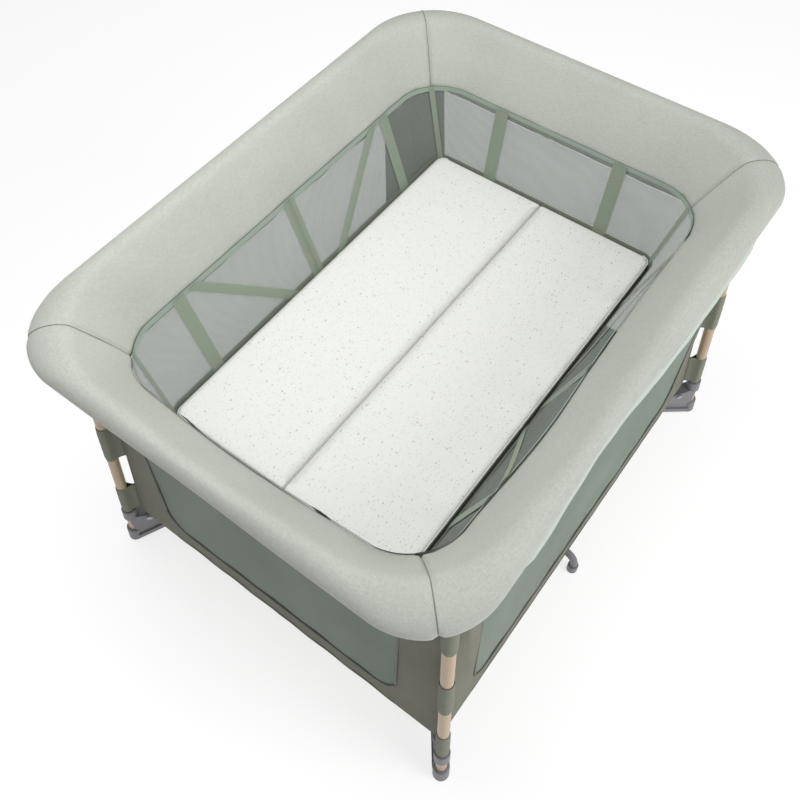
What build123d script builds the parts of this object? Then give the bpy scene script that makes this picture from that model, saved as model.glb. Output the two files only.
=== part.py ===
from build123d import *
import os
from math import cos, degrees, radians, sin, sqrt, tan

# Folding playpen with a raised bassinet. Millimetres, +Z up, origin on the floor under the middle.
# X runs along the long sides, front is -Y and left is -X. The four quarters are alike, so a
# quarter's pieces are made for the back right corner (+X, +Y) and mirrored to the other three.
# At rest the pen stands open. To fold it the hub is pulled up: the struts under the floor swing up,
# each leg slides in towards the middle, and each top rail breaks downwards at its middle pin.

# Overall frame
frame_length = 963.0  # between the middles of the bumper's two short sides
frame_width = 715.0  # between the middles of its two long sides
rail_pin_z = 708.0  # hinge pins of the top rails

# Legs, which splay outwards towards the floor
leg_inset_x = 33.5  # leg axis inside the bumper's middle, at the rail pins
leg_outset_y = 6.0  # leg axis outside the bumper's middle, at the rail pins
leg_splay_x = 70.0  # how much further out the leg stands on the floor
leg_splay_y = 55.5
leg_tube_d = 22.0
leg_tube_wall = 1.5
leg_foot_z = 10.0  # lower end of the tube, inside its shoe
leg_above_pin = 8.0

# Pins and fits
pin_d = 8.0
pin_clearance = 0.06
pin_head_d = 13.0
pin_head_t = 2.0
side_clearance = 0.3  # beside a lug, in its fork
fit_clearance = 0.15  # round a tube, in its socket
soft_gap = 0.3  # between soft pieces and what they lie against
lug_gap = 3.0  # behind a lug, to the web of its fork

# Top rails, two halves to a side
rail_tube_d = 20.0
rail_tube_wall = 1.2
rail_drop = 12.0  # tube axis below its pins, so that the folded halves lie side by side
rail_end_inset = 22.0  # from a pin to the end of the tube
rail_grip = 18.0  # length of a rail's end fitting over its tube
rail_lug_r = 9.0
rail_lug_t = 8.0  # in the corner block's fork
tongue_t = 8.0  # at the middle pin
fork_t = 5.0

# Corner blocks
corner_reach_x = 81.5  # from the bumper's middle in to the long rail's pin
corner_reach_y = 47.5  # from the bumper's middle in to the short rail's pin
corner_ear_t = 5.0
corner_ear_r = 9.0
corner_arm_height = 18.0
corner_socket_r = 16.0
corner_socket_depth = 60.0
corner_cap_t = 5.0
corner_web_t = 6.0

# Foot brackets
foot_pin_z = 62.0
bracket_reach = 104.0  # from the leg's axis in to the strut's pin
bracket_t = 26.0
bracket_ear_r = 16.0
bracket_top_z = 100.0
bracket_toe_z = 4.0
shoe_r = 16.5
shoe_top_z = 42.0
shoe_round = 6.0
collar_r = 15.5
collar_low_z = 90.0
collar_top_z = 124.0
collar_round = 3.0
web_rivet_inset = 40.0  # from the leg's axis
web_rib_height = 13.0  # thicker rib along the web's lower edge
web_rib_t = 4.0  # how far it stands out on each side

# Struts under the floor
strut_tube_d = 18.0
strut_tube_wall = 1.2
strut_lug_t = 12.0
strut_lug_r = 11.0
strut_lug_length = 34.0
strut_tube_inset = 20.0  # from a pin to the end of the tube

# Hub
hub_plate_z = 76.0
hub_plate_t = 8.0
hub_plate_margin = 20.0
hub_plate_round = 30.0
hub_ear_t = 6.0
hub_ear_r = 14.0
cover_r = 44.0
cover_t = 12.0
cover_round = 5.0
button_r = 14.0
button_t = 10.0
button_round = 3.0
button_travel = 5.5
button_clearance = 0.3
button_floor_gap = 0.5  # left under the button when it is pressed

# Side arms, which carry the long sides' middle feet
arm_pin_y = 78.0
arm_offset_x = 10.0  # the two arms hang side by side when folded
arm_tube_d = 16.0
arm_tube_wall = 1.2
arm_lug_t = 10.0
arm_lug_r = 10.0
arm_lug_length = 26.0
arm_bend_r = 34.0
side_foot_y = 409.0
side_foot_r = 11.5
side_foot_height = 24.0
side_foot_sole = 6.0

# Bumper: a padded band that leans outwards over the rails
pad_lean = radians(35.0)
pad_thickness = 52.0
pad_up = 64.0  # from the rails up the slope to the top roll
pad_down = 38.0
pad_roll = 22.0  # height of the rolls past those lines
pad_crown = 3.0
pad_skin = 6.0
pad_corner_r = 60.0  # outer corner, at the bumper's middle

# Bassinet
rim_inset = 45.7  # its upper edge, inside the bumper's middle
rim_corner_r = 95.0
rim_z = 676.0
bassinet_floor_z = 496.7
ledge_t = 2.5
ledge_width = 22.0
sling_width = 40.0  # straps across under the mattress
sling_places = (200.0, 330.0)
bassinet_inset_x = 31.0  # its floor's edge, inside the rim
bassinet_inset_y = 59.5
bassinet_floor_r = 20.0
mesh_t = 2.0

# Mattress
mattress_t = 28.0
mattress_margin = 1.5
mattress_corner_r = 18.0
mattress_edge_r = 6.0

# Outer fabric
hem_z = 105.0
seam_inset = 20.0  # upright seam where two walls meet, inside the leg's axis
long_wall_drop = 36.0  # top of a long wall, below the rails' pins
short_wall_drop = 67.0
wall_t = 2.0
window_t = 1.2
window_side = 105.0  # from the wall's edge to its window
window_bottom = 64.0
window_top = 18.0
window_corner_r = 55.0
rail_wall_gap = 1.6  # left between a folded long rail and the wall outside it
floor_t = 2.0

# Fabric sleeves on each leg, as lower and upper heights, each with a tab to the walls' seam
sleeve_t = 2.0
tab_t = 3.0
sleeve_spans = ((125.5, 220.0), (335.0, 445.0), (565.0, 638.0))

# Places that follow from those sizes
pad_x = frame_length / 2
pad_y = frame_width / 2
rail_tube_z = rail_pin_z - rail_drop
pad_z = rail_tube_z
short_rail_x = pad_x + rail_drop * tan(pad_lean)
long_rail_y = pad_y + rail_drop * tan(pad_lean)
corner_pin_x = pad_x - corner_reach_x
corner_pin_y = pad_y - corner_reach_y
fan_x = pad_x - rim_inset - rim_corner_r  # the bumper's corner sections fan out from here
fan_y = pad_y - rim_inset - rim_corner_r
rim_x = pad_x - rim_inset
rim_y = pad_y - rim_inset
bassinet_x = rim_x - bassinet_inset_x
bassinet_y = rim_y - bassinet_inset_y
long_wall_top_z = rail_pin_z - long_wall_drop
short_wall_top_z = rail_pin_z - short_wall_drop
strut_run = Vector(corner_pin_x, corner_pin_y, 0)
strut_length = strut_run.length
strut_dir = strut_run.normalized()

CORNERS = {
    "back_right": (1, 1),
    "back_left": (-1, 1),
    "front_right": (1, -1),
    "front_left": (-1, -1),
}


def leg_point(z):
    """A point of the leg's axis."""
    share = 1 - z / rail_pin_z
    return Vector(
        pad_x - leg_inset_x + leg_splay_x * share,
        pad_y + leg_outset_y + leg_splay_y * share,
        z,
    )


def seam_point(z):
    """A point of the upright seam where two outer walls meet inside the leg."""
    return leg_point(z) - Vector(seam_inset, seam_inset, 0)


def leg_plane(z):
    """A plane square to the leg."""
    return Plane(origin=leg_point(z), z_dir=leg_point(rail_pin_z) - leg_point(0))


def leg_length(low, high):
    """Length along the leg between two heights."""
    return (leg_point(high) - leg_point(low)).length


foot_pin = leg_point(foot_pin_z) - strut_dir * bracket_reach
hub_pin = foot_pin - strut_run
leg_foot = leg_point(foot_pin_z)
# upright plane of a strut: local x runs in from the leg, local y is the height
strut_plane = Plane(
    origin=(leg_foot.X, leg_foot.Y, 0),
    x_dir=-strut_dir,
    z_dir=(-strut_dir.Y, strut_dir.X, 0),
)
long_rail_plane = Plane.XZ.offset(-long_rail_y)
short_rail_plane = Plane.YZ.offset(short_rail_x)


def write(piece, name):
    """Writes one finished piece."""
    piece.label = name
    export_step(piece, f"parts/{name}.step")


def to_corner(piece, corner):
    """A quarter's piece, mirrored from the back right to another corner."""
    side_x, side_y = CORNERS[corner]
    if side_x < 0:
        piece = mirror(piece, about=Plane.YZ)
    if side_y < 0:
        piece = mirror(piece, about=Plane.XZ)
    return piece


def write_corners(piece, name):
    """Writes a quarter's piece for all four corners."""
    for corner in CORNERS:
        write(to_corner(piece, corner), f"{name}_{corner}")


def swap_sides(piece):
    """A long side's piece, turned over the diagonal to lie on a short side."""
    return mirror(piece, about=Plane(origin=(0, 0, 0), z_dir=(1, -1, 0)))


def headed_pin(plane, place, grip):
    """A pin square to a plane at a place on it, with a flat head on each side of its grip."""
    half = grip / 2 + side_clearance
    with BuildPart() as pin:
        with BuildSketch(plane):
            with Locations(place):
                Circle(pin_d / 2)
        extrude(amount=half, both=True)
        for side in (1, -1):
            with BuildSketch(plane.offset(side * half)):
                with Locations(place):
                    Circle(pin_head_d / 2)
            extrude(amount=side * pin_head_t)
    return pin.part


def leg_ring(low, high, inner_r, outer_r):
    """A sleeve round the leg between two heights."""
    with BuildPart() as ring:
        with BuildSketch(leg_plane(low)):
            Circle(outer_r)
            Circle(inner_r, mode=Mode.SUBTRACT)
        extrude(amount=leg_length(low, high))
    return ring.part


# Leg tube
leg_top_z = rail_pin_z + leg_above_pin
leg_r = leg_tube_d / 2
leg_tube = leg_ring(leg_foot_z, leg_top_z, leg_r - leg_tube_wall, leg_r)

# Foot bracket: a shoe and a collar on the leg, joined by a web that forks round the strut
foot_place = (bracket_reach, foot_pin_z)
rib_reach = bracket_reach - bracket_ear_r
rib_slope = (foot_pin_z - bracket_ear_r - bracket_toe_z) / bracket_reach
rib_end_z = bracket_toe_z + rib_slope * rib_reach
web_rivet_place = (web_rivet_inset, (foot_pin_z + bracket_top_z) / 2)
with BuildPart() as foot_bracket:
    with BuildSketch(leg_plane(-shoe_r)):
        Circle(shoe_r)
    extrude(amount=leg_length(-shoe_r, shoe_top_z))
    fillet(foot_bracket.edges().sort_by(Axis.Z)[-1], shoe_round)
    with BuildSketch(leg_plane(collar_low_z)):
        Circle(collar_r)
    extrude(amount=leg_length(collar_low_z, collar_top_z))
    fillet(foot_bracket.edges().sort_by(Axis.Z)[-1], collar_round)
    with BuildSketch(strut_plane):
        with BuildLine():
            Polyline(
                (0, bracket_toe_z),
                (bracket_reach, foot_pin_z - bracket_ear_r),
                (bracket_reach, foot_pin_z + bracket_ear_r),
                (0, bracket_top_z),
                close=True,
            )
        make_face()
        with Locations(foot_place):
            Circle(bracket_ear_r)
    extrude(amount=bracket_t / 2, both=True)
    with BuildSketch(strut_plane):
        with BuildLine():
            Polyline(
                (0, bracket_toe_z),
                (rib_reach, rib_end_z),
                (rib_reach, rib_end_z + web_rib_height),
                (0, bracket_toe_z + web_rib_height),
                close=True,
            )
        make_face()
    extrude(amount=bracket_t / 2 + web_rib_t, both=True)
    with BuildSketch(leg_plane(leg_foot_z - fit_clearance)):
        Circle(leg_r + fit_clearance)
    extrude(amount=leg_length(leg_foot_z, leg_top_z), mode=Mode.SUBTRACT)
    with BuildSketch(strut_plane):
        with Locations((bracket_reach - strut_lug_r - lug_gap, foot_pin_z)):
            Rectangle(4 * bracket_ear_r, 4 * bracket_ear_r, align=(Align.MIN, Align.CENTER))
    extrude(amount=strut_lug_t / 2 + side_clearance, both=True, mode=Mode.SUBTRACT)
    with BuildSketch(strut_plane):
        with Locations(foot_place, web_rivet_place):
            Circle(pin_d / 2 + pin_clearance)
    extrude(amount=bracket_t, both=True, mode=Mode.SUBTRACT)
    split(bisect_by=Plane.XY, keep=Keep.TOP)

# Corner block: a socket on the leg with a fork for each of the corner's two rails
fork_gap = rail_lug_t / 2 + side_clearance
fork_half = fork_gap + corner_ear_t
socket_low_z = leg_top_z + corner_cap_t - corner_socket_depth
arm_low_z = rail_pin_z - corner_arm_height / 2
web_start = rail_lug_r + lug_gap
web_middle = web_start + corner_web_t / 2
leg_top = leg_point(rail_pin_z)


def corner_arm(root_x, root_y, width, depth):
    """A web at arm height from the leg's socket to the root of a fork."""
    with BuildPart() as arm:
        with BuildSketch(Plane.XY.offset(arm_low_z)) as web:
            with Locations((leg_top.X, leg_top.Y)):
                Circle(leg_r + side_clearance)
            with Locations((root_x, root_y)):
                Rectangle(width, depth)
            make_hull(web.edges())
        extrude(amount=corner_arm_height)
    return arm.part


def corner_fork(plane, pin_at):
    """The two ears that hold a rail's outer lug."""
    with BuildPart() as fork:
        for side in (1, -1):
            with BuildSketch(plane.offset(side * fork_gap)):
                with Locations((pin_at, rail_pin_z)):
                    Circle(corner_ear_r)
                with Locations((pin_at + web_start / 2, rail_pin_z)):
                    Rectangle(web_start, corner_arm_height)
            extrude(amount=side * corner_ear_t)
        with BuildSketch(plane):
            with Locations((pin_at, rail_pin_z)):
                Circle(pin_d / 2 + pin_clearance)
        extrude(amount=fork_half, both=True, mode=Mode.SUBTRACT)
    return fork.part


with BuildPart() as corner_block:
    with BuildSketch(leg_plane(socket_low_z)):
        Circle(corner_socket_r)
    extrude(amount=corner_socket_depth)
    fillet(corner_block.edges().sort_by(Axis.Z)[-1], collar_round)
    add(corner_arm(corner_pin_x + web_middle, long_rail_y, corner_web_t, 2 * fork_half))
    add(corner_arm(short_rail_x, corner_pin_y + web_middle, 2 * fork_half, corner_web_t))
    add(corner_fork(long_rail_plane, corner_pin_x))
    add(corner_fork(short_rail_plane, corner_pin_y))
    with BuildSketch(leg_plane(leg_foot_z)):
        Circle(leg_r + fit_clearance)
    extrude(amount=leg_length(leg_foot_z, leg_top_z) + fit_clearance, mode=Mode.SUBTRACT)

# Rivets of one leg: the strut's pin, the bracket's rivet and the two rails' pins
with BuildPart() as rivets:
    add(headed_pin(strut_plane, foot_place, bracket_t))
    add(headed_pin(strut_plane, web_rivet_place, bracket_t))
    add(headed_pin(long_rail_plane, (corner_pin_x, rail_pin_z), 2 * fork_half))
    add(headed_pin(short_rail_plane, (corner_pin_y, rail_pin_z), 2 * fork_half))

# Sleeves that hold the outer fabric to the leg
def sleeve_tab(low, high):
    """A tab between two heights, from the leg's axis in to the walls' seam."""
    inwards = Vector(-1, -1, 0).normalized()
    across = Vector(-inwards.Y, inwards.X, 0) * (tab_t / 2)
    with BuildPart() as tab:
        for z in (low, high):
            root = leg_point(z)
            end = seam_point(z) - inwards * (tab_t / 2)
            corners = (root + across, root - across, end - across, end + across)
            with BuildSketch(Plane.XY.offset(z)):
                with BuildLine():
                    Polyline(*[(corner.X, corner.Y) for corner in corners], close=True)
                make_face()
        loft(ruled=True)
    return tab.part


sleeve_r = leg_r + soft_gap
with BuildPart() as leg_sleeves:
    for low, high in sleeve_spans:
        add(leg_ring(low, high, sleeve_r, sleeve_r + sleeve_t))
        add(sleeve_tab(low, high))
    with BuildSketch(leg_plane(hem_z)):
        Circle(sleeve_r)
    extrude(amount=leg_length(hem_z, rail_pin_z), mode=Mode.SUBTRACT)

# Strut: a tube with flattened ends
far_place = (bracket_reach + strut_length, foot_pin_z)
with BuildPart() as strut:
    with BuildSketch(strut_plane):
        with Locations(
            (bracket_reach + strut_lug_length / 2, foot_pin_z),
            (bracket_reach + strut_length - strut_lug_length / 2, foot_pin_z),
        ):
            SlotCenterToCenter(strut_lug_length, 2 * strut_lug_r)
    extrude(amount=strut_lug_t / 2, both=True)
    with BuildSketch(Plane(origin=foot_pin - strut_dir * strut_tube_inset, z_dir=-strut_dir)):
        Circle(strut_tube_d / 2)
        Circle(strut_tube_d / 2 - strut_tube_wall, mode=Mode.SUBTRACT)
    extrude(amount=strut_length - 2 * strut_tube_inset)
    with BuildSketch(strut_plane):
        with Locations(foot_place, far_place):
            Circle(pin_d / 2 + pin_clearance)
    extrude(amount=strut_tube_d, both=True, mode=Mode.SUBTRACT)


def half_rail(plane, half, forked):
    """Half a top rail: a tube with a lug at the corner and a tongue or a fork at the middle pin.

    On the plane, local x runs out from the middle pin and local y is the height.
    """

    def end_plate(pin_at, grip_at, offset, thickness):
        with BuildPart() as plate:
            with BuildSketch(plane.offset(offset)) as outline:
                with Locations((pin_at, rail_pin_z)):
                    Circle(rail_lug_r)
                with Locations((grip_at, rail_tube_z)):
                    Rectangle(rail_grip, rail_tube_d)
                make_hull(outline.edges())
            extrude(amount=thickness / 2, both=True)
        return plate.part

    tube_start = plane.from_local_coords((rail_end_inset, rail_tube_z, 0))
    inner_grip = rail_end_inset + rail_grip / 2
    fork_offset = tongue_t / 2 + side_clearance + fork_t / 2
    with BuildPart() as rail:
        with BuildSketch(Plane(origin=tube_start, z_dir=plane.x_dir)):
            Circle(rail_tube_d / 2)
            Circle(rail_tube_d / 2 - rail_tube_wall, mode=Mode.SUBTRACT)
        extrude(amount=half - 2 * rail_end_inset)
        add(end_plate(half, half - inner_grip, 0, rail_lug_t))
        if forked:
            for side in (1, -1):
                add(end_plate(0, inner_grip, side * fork_offset, fork_t))
        else:
            add(end_plate(0, inner_grip, 0, tongue_t))
        with BuildSketch(plane):
            with Locations((0, rail_pin_z), (half, rail_pin_z)):
                Circle(pin_d / 2 + pin_clearance)
        extrude(amount=rail_tube_d, both=True, mode=Mode.SUBTRACT)
        if forked:
            add(headed_pin(plane, (0, rail_pin_z), 2 * fork_offset + fork_t))
    return rail.part


# Hub: a plate with a fork under it for each strut and each side arm
hub_top_z = hub_plate_z + hub_plate_t
arm_pin_z = foot_pin_z
arm_fork_gap = arm_lug_t / 2 + side_clearance
strut_fork_gap = strut_lug_t / 2 + side_clearance


def hub_fork(plane, pin_at, pin_z, gap):
    """Two ears that hang from the hub's plate round a pin."""
    with BuildPart() as fork:
        for side in (1, -1):
            with BuildSketch(plane.offset(side * gap)):
                with Locations((pin_at, pin_z)):
                    Circle(hub_ear_r)
                with Locations((pin_at, (pin_z + hub_plate_z) / 2)):
                    Rectangle(2 * hub_ear_r, hub_plate_z - pin_z)
            extrude(amount=side * hub_ear_t)
        with BuildSketch(plane):
            with Locations((pin_at, pin_z)):
                Circle(pin_d / 2 + pin_clearance)
        extrude(amount=gap + hub_ear_t, both=True, mode=Mode.SUBTRACT)
    return fork.part


def half_turn(piece):
    """The piece turned half round the pen's middle."""
    return piece.rotate(Axis.Z, 180)


arm_plane = Plane.YZ.offset(arm_offset_x)
strut_fork = hub_fork(strut_plane, far_place[0], foot_pin_z, strut_fork_gap)
arm_fork = hub_fork(arm_plane, arm_pin_y, arm_pin_z, arm_fork_gap)
with BuildPart() as hub_body:
    with BuildSketch(Plane.XY.offset(hub_plate_z)):
        RectangleRounded(
            2 * (hub_pin.X + hub_ear_r + hub_plate_margin),
            2 * (arm_pin_y + hub_ear_r),
            hub_plate_round,
        )
    extrude(amount=hub_plate_t)
    for corner in CORNERS:
        add(to_corner(strut_fork, corner))
    add(arm_fork)
    add(half_turn(arm_fork))

strut_hub_pin = headed_pin(strut_plane, far_place, 2 * (strut_fork_gap + hub_ear_t))
arm_hub_pin = headed_pin(arm_plane, (arm_pin_y, arm_pin_z), 2 * (arm_fork_gap + hub_ear_t))
with BuildPart() as hub_pins:
    for corner in CORNERS:
        add(to_corner(strut_hub_pin, corner))
    add(arm_hub_pin)
    add(half_turn(arm_hub_pin))

# Cover over the hub, with the release button in its bore
with BuildPart() as hub_cover:
    with BuildSketch(Plane.XY.offset(hub_top_z)):
        Circle(cover_r)
        Circle(button_r + button_clearance, mode=Mode.SUBTRACT)
    extrude(amount=cover_t)
    fillet(hub_cover.edges().group_by(Axis.Z)[-1].sort_by(SortBy.RADIUS)[-1], cover_round)

with BuildPart() as release_button:
    with BuildSketch(Plane.XY.offset(hub_top_z + button_travel + button_floor_gap)):
        Circle(button_r)
    extrude(amount=button_t)
    fillet(release_button.edges().sort_by(Axis.Z)[-1], button_round)

# Side arm: a tube from the hub that bends down to the long side's middle foot
arm_bend_y = side_foot_y - arm_bend_r
with BuildPart() as side_arm:
    with BuildSketch(arm_plane):
        with Locations((arm_pin_y + arm_lug_length / 2, arm_pin_z)):
            SlotCenterToCenter(arm_lug_length, 2 * arm_lug_r)
    extrude(amount=arm_lug_t / 2, both=True)
    with BuildLine(arm_plane):
        arm_run = Line((arm_pin_y + hub_ear_r + lug_gap, arm_pin_z), (arm_bend_y, arm_pin_z))
        arm_bend = JernArc(arm_run @ 1, arm_run % 1, arm_bend_r, -90)
        Line(arm_bend @ 1, (side_foot_y, side_foot_sole + fit_clearance))
    with BuildSketch(Plane(origin=arm_run @ 0, z_dir=arm_run % 0)):
        Circle(arm_tube_d / 2)
        Circle(arm_tube_d / 2 - arm_tube_wall, mode=Mode.SUBTRACT)
    sweep()
    with BuildSketch(arm_plane):
        with Locations((arm_pin_y, arm_pin_z)):
            Circle(pin_d / 2 + pin_clearance)
    extrude(amount=arm_tube_d, both=True, mode=Mode.SUBTRACT)

with BuildPart() as side_foot:
    with BuildSketch():
        with Locations((arm_offset_x, side_foot_y)):
            Circle(side_foot_r)
    extrude(amount=side_foot_height)
    fillet(side_foot.edges().sort_by(Axis.Z)[-1], collar_round)
    with BuildSketch(Plane.XY.offset(side_foot_sole)):
        with Locations((arm_offset_x, side_foot_y)):
            Circle(arm_tube_d / 2 + fit_clearance)
    extrude(amount=side_foot_height, mode=Mode.SUBTRACT)


def reach(origin, heading, half_x, half_y, radius):
    """Distance from an origin along a heading to a rectangle with rounded corners."""
    step_x = sin(heading)
    step_y = cos(heading)
    if origin[0] * step_y + (half_y - origin[1]) * step_x <= (half_x - radius) * step_y:
        return (half_y - origin[1]) / step_y
    if origin[1] * step_x + (half_x - origin[0]) * step_y <= (half_y - radius) * step_x:
        return (half_x - origin[0]) / step_x
    from_x = origin[0] - half_x + radius
    from_y = origin[1] - half_y + radius
    towards = from_x * step_x + from_y * step_y
    return -towards + sqrt(towards**2 - from_x**2 - from_y**2 + radius**2)


def pad_section(origin, heading, skin):
    """The bumper's section on an upright plane, less a skin.

    Its inner face turns the corner on a wide radius and its outer face on a tighter one.
    """
    half = pad_thickness / 2 - skin
    middle = (pad_up - pad_down) / 2

    def place(along, across, outer_share):
        out = along * sin(pad_lean) + across * cos(pad_lean)
        inner_r = rim_corner_r + rim_inset + out
        outer_r = pad_corner_r + out
        radius = outer_r * outer_share + inner_r * (1 - outer_share)
        height = pad_z + along * cos(pad_lean) - across * sin(pad_lean)
        return (reach(origin, heading, pad_x + out, pad_y + out, radius), height)

    inner_low = place(-pad_down, -half, 0)
    inner_high = place(pad_up, -half, 0)
    outer_low = place(-pad_down, half, 1)
    outer_high = place(pad_up, half, 1)
    plane = Plane(
        origin=(origin[0], origin[1], 0),
        x_dir=(sin(heading), cos(heading), 0),
        z_dir=(cos(heading), -sin(heading), 0),
    )
    with BuildSketch(plane) as section:
        with BuildLine():
            ThreePointArc(inner_low, place(middle, -half - pad_crown, 0), inner_high)
            ThreePointArc(inner_high, place(pad_up + pad_roll - skin, 0, 0.5), outer_high)
            ThreePointArc(outer_high, place(middle, half + pad_crown, 1), outer_low)
            ThreePointArc(outer_low, place(-pad_down - pad_roll + skin, 0, 0.5), inner_low)
        make_face()
    return section.sketch


def pad_half(stations):
    """Half a side of the bumper as a padded skin, lofted through its stations."""
    with BuildPart() as half:
        loft([pad_section(origin, heading, 0) for origin, heading in stations], ruled=True)
        loft(
            [pad_section(origin, heading, pad_skin) for origin, heading in stations],
            ruled=True,
            mode=Mode.SUBTRACT,
        )
    return half.part


# Bumper halves, from the middle of a side to the seam across the corner
half_gap = soft_gap / 2
mitre_shift = half_gap / sqrt(2)
fan = (fan_x, fan_y)
with BuildPart() as long_bumper:
    add(
        pad_half(
            [
                ((half_gap, fan_y), 0),
                (fan, 0),
                (fan, radians(15)),
                (fan, radians(30)),
                ((fan_x - mitre_shift, fan_y + mitre_shift), radians(45)),
            ]
        )
    )
    with BuildSketch(leg_plane(hem_z)):
        Circle(corner_socket_r + 2 * soft_gap)
    extrude(amount=leg_length(hem_z, leg_top_z + corner_cap_t), mode=Mode.SUBTRACT)

with BuildPart() as short_bumper:
    add(
        pad_half(
            [
                ((fan_x, half_gap), radians(90)),
                (fan, radians(90)),
                (fan, radians(75)),
                (fan, radians(60)),
                ((fan_x + mitre_shift, fan_y - mitre_shift), radians(45)),
            ]
        )
    )


def wall_strip(half_x, half_y, radius, z):
    """The plan of half a mesh wall at one height, from mid side to mid corner."""
    centre = (half_x - radius, half_y - radius)
    seam = 45 + degrees(half_gap / (radius - mesh_t))
    with BuildSketch(Plane.XY.offset(z)) as strip:
        with BuildLine():
            side = Line((half_gap, half_y), (centre[0], half_y))
            turn = CenterArc(centre, radius, 90, seam - 90)
            back = CenterArc(centre, radius - mesh_t, seam, 90 - seam)
            inside = Line((centre[0], half_y - mesh_t), (half_gap, half_y - mesh_t))
            Line(turn @ 1, back @ 0)
            Line(inside @ 1, side @ 0)
        make_face()
    return strip.sketch


def mesh_half_wall(floor_x, floor_y, top_x, top_y):
    """Half a mesh wall of the bassinet, from its floor up to the rim."""
    with BuildPart() as wall:
        loft(
            [
                wall_strip(floor_x, floor_y, bassinet_floor_r, bassinet_floor_z + soft_gap),
                wall_strip(top_x, top_y, rim_corner_r, rim_z),
            ],
            ruled=True,
        )
    return wall.part


# Bassinet quarter: two half walls of mesh, and the ledge and straps that the mattress lies on
with BuildPart() as bassinet:
    add(mesh_half_wall(bassinet_x, bassinet_y, rim_x, rim_y))
    add(swap_sides(mesh_half_wall(bassinet_y, bassinet_x, rim_y, rim_x)))
    with BuildSketch(Plane.XY.offset(bassinet_floor_z - ledge_t)) as ledge:
        with Locations((half_gap, half_gap)):
            Rectangle(bassinet_x - half_gap, bassinet_y - half_gap, align=Align.MIN)
            Rectangle(
                bassinet_x - half_gap - ledge_width,
                bassinet_y - half_gap - ledge_width,
                align=Align.MIN,
                mode=Mode.SUBTRACT,
            )
        fillet(ledge.vertices().sort_by(Axis((0, 0, 0), (1, 1, 0)))[-1], bassinet_floor_r)
        with Locations([(x, half_gap) for x in sling_places]):
            Rectangle(sling_width, bassinet_y - ledge_width, align=(Align.CENTER, Align.MIN))
    extrude(amount=ledge_t)

# Mattress: two panels that fold together on the seam between them
mattress_z = bassinet_floor_z + soft_gap
mattress_x = bassinet_x - mesh_t - mattress_margin
mattress_y = bassinet_y - mesh_t - mattress_margin
with BuildPart() as mattress_panel:
    with BuildSketch(Plane.XY.offset(mattress_z)) as outline:
        with Locations((0, soft_gap)):
            Rectangle(2 * mattress_x, mattress_y - soft_gap, align=(Align.CENTER, Align.MIN))
        fillet(outline.vertices().group_by(Axis.Y)[-1], mattress_corner_r)
    extrude(amount=mattress_t)
    fillet(mattress_panel.faces().sort_by(Axis.Z)[-1].edges(), mattress_edge_r)


# Outer fabric of one quarter: half a long wall and half a short one, sewn together inside the leg
hem_corner = seam_point(hem_z)
long_top_y = long_rail_y + rail_tube_d / 2 + rail_wall_gap + wall_t
short_top_x = leg_point(short_wall_top_z).X
long_window = hem_corner.X - window_side
short_window = hem_corner.Y - window_side
long_bend_x = corner_pin_x + rail_drop + rail_tube_d / 2  # clears the folded rail at the top


def wall_path(z):
    """The walls' outer face at a height, from mid long side round the seam to mid short side."""
    long_share = (z - hem_z) / (long_wall_top_z - hem_z)
    short_share = (z - hem_z) / (short_wall_top_z - hem_z)
    long_y = hem_corner.Y + (long_top_y - hem_corner.Y) * long_share
    short_x = hem_corner.X + (short_top_x - hem_corner.X) * short_share
    bend_x = long_window + (long_bend_x - long_window) * long_share
    seam = seam_point(z)
    return [
        Vector(half_gap, long_y),
        Vector(bend_x, long_y),
        Vector(seam.X, seam.Y),
        Vector(short_x, short_window),
        Vector(short_x, half_gap),
    ]


def inner_path(path, depth):
    """A path that runs beside a clockwise one, inside it by a depth."""
    runs = [(end - start).normalized() for start, end in zip(path, path[1:])]
    sides = [Vector(run.Y, -run.X) for run in runs]
    shifted = []
    for point, before, after in zip(path, sides[:1] + sides, sides + sides[-1:]):
        middle = (before + after).normalized()
        shifted.append(point + middle * (depth / middle.dot(before)))
    return shifted


def window_block(hem_out, top_out, top_z, half_width, gap, depth):
    """Half the window of a long wall, as a block that runs in from the wall's outer face."""
    rise = Vector(0, top_out - hem_out, top_z - hem_z)
    plane = Plane(
        origin=(0, hem_out, hem_z),
        x_dir=(1, 0, 0),
        z_dir=Vector(1, 0, 0).cross(rise),
    )
    with BuildPart() as block:
        with BuildSketch(plane) as opening:
            with Locations((half_gap, window_bottom + gap)):
                Rectangle(
                    half_width - half_gap - gap,
                    rise.length - window_bottom - window_top - 2 * gap,
                    align=Align.MIN,
                )
            fillet(opening.vertices().group_by(Axis.Y)[0].sort_by(Axis.X)[-1], window_corner_r)
        extrude(amount=depth)
    return block.part


def quarter_windows(gap, depth):
    """Both half windows of a quarter."""
    long_side = window_block(hem_corner.Y, long_top_y, long_wall_top_z, long_window, gap, depth)
    short_side = window_block(hem_corner.X, short_top_x, short_wall_top_z, short_window, gap, depth)
    return long_side, swap_sides(short_side)


def wall_panel(run):
    """One run of the walls' path, from the hem up."""
    with BuildPart() as panel:
        for z in (hem_z, long_wall_top_z):
            outer = wall_path(z)
            inner = inner_path(outer, wall_t)
            corners = (outer[run], outer[run + 1], inner[run + 1], inner[run])
            with BuildSketch(Plane.XY.offset(z)):
                with BuildLine():
                    Polyline(*[(corner.X, corner.Y) for corner in corners], close=True)
                make_face()
        loft(ruled=True)
    return panel.part


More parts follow.
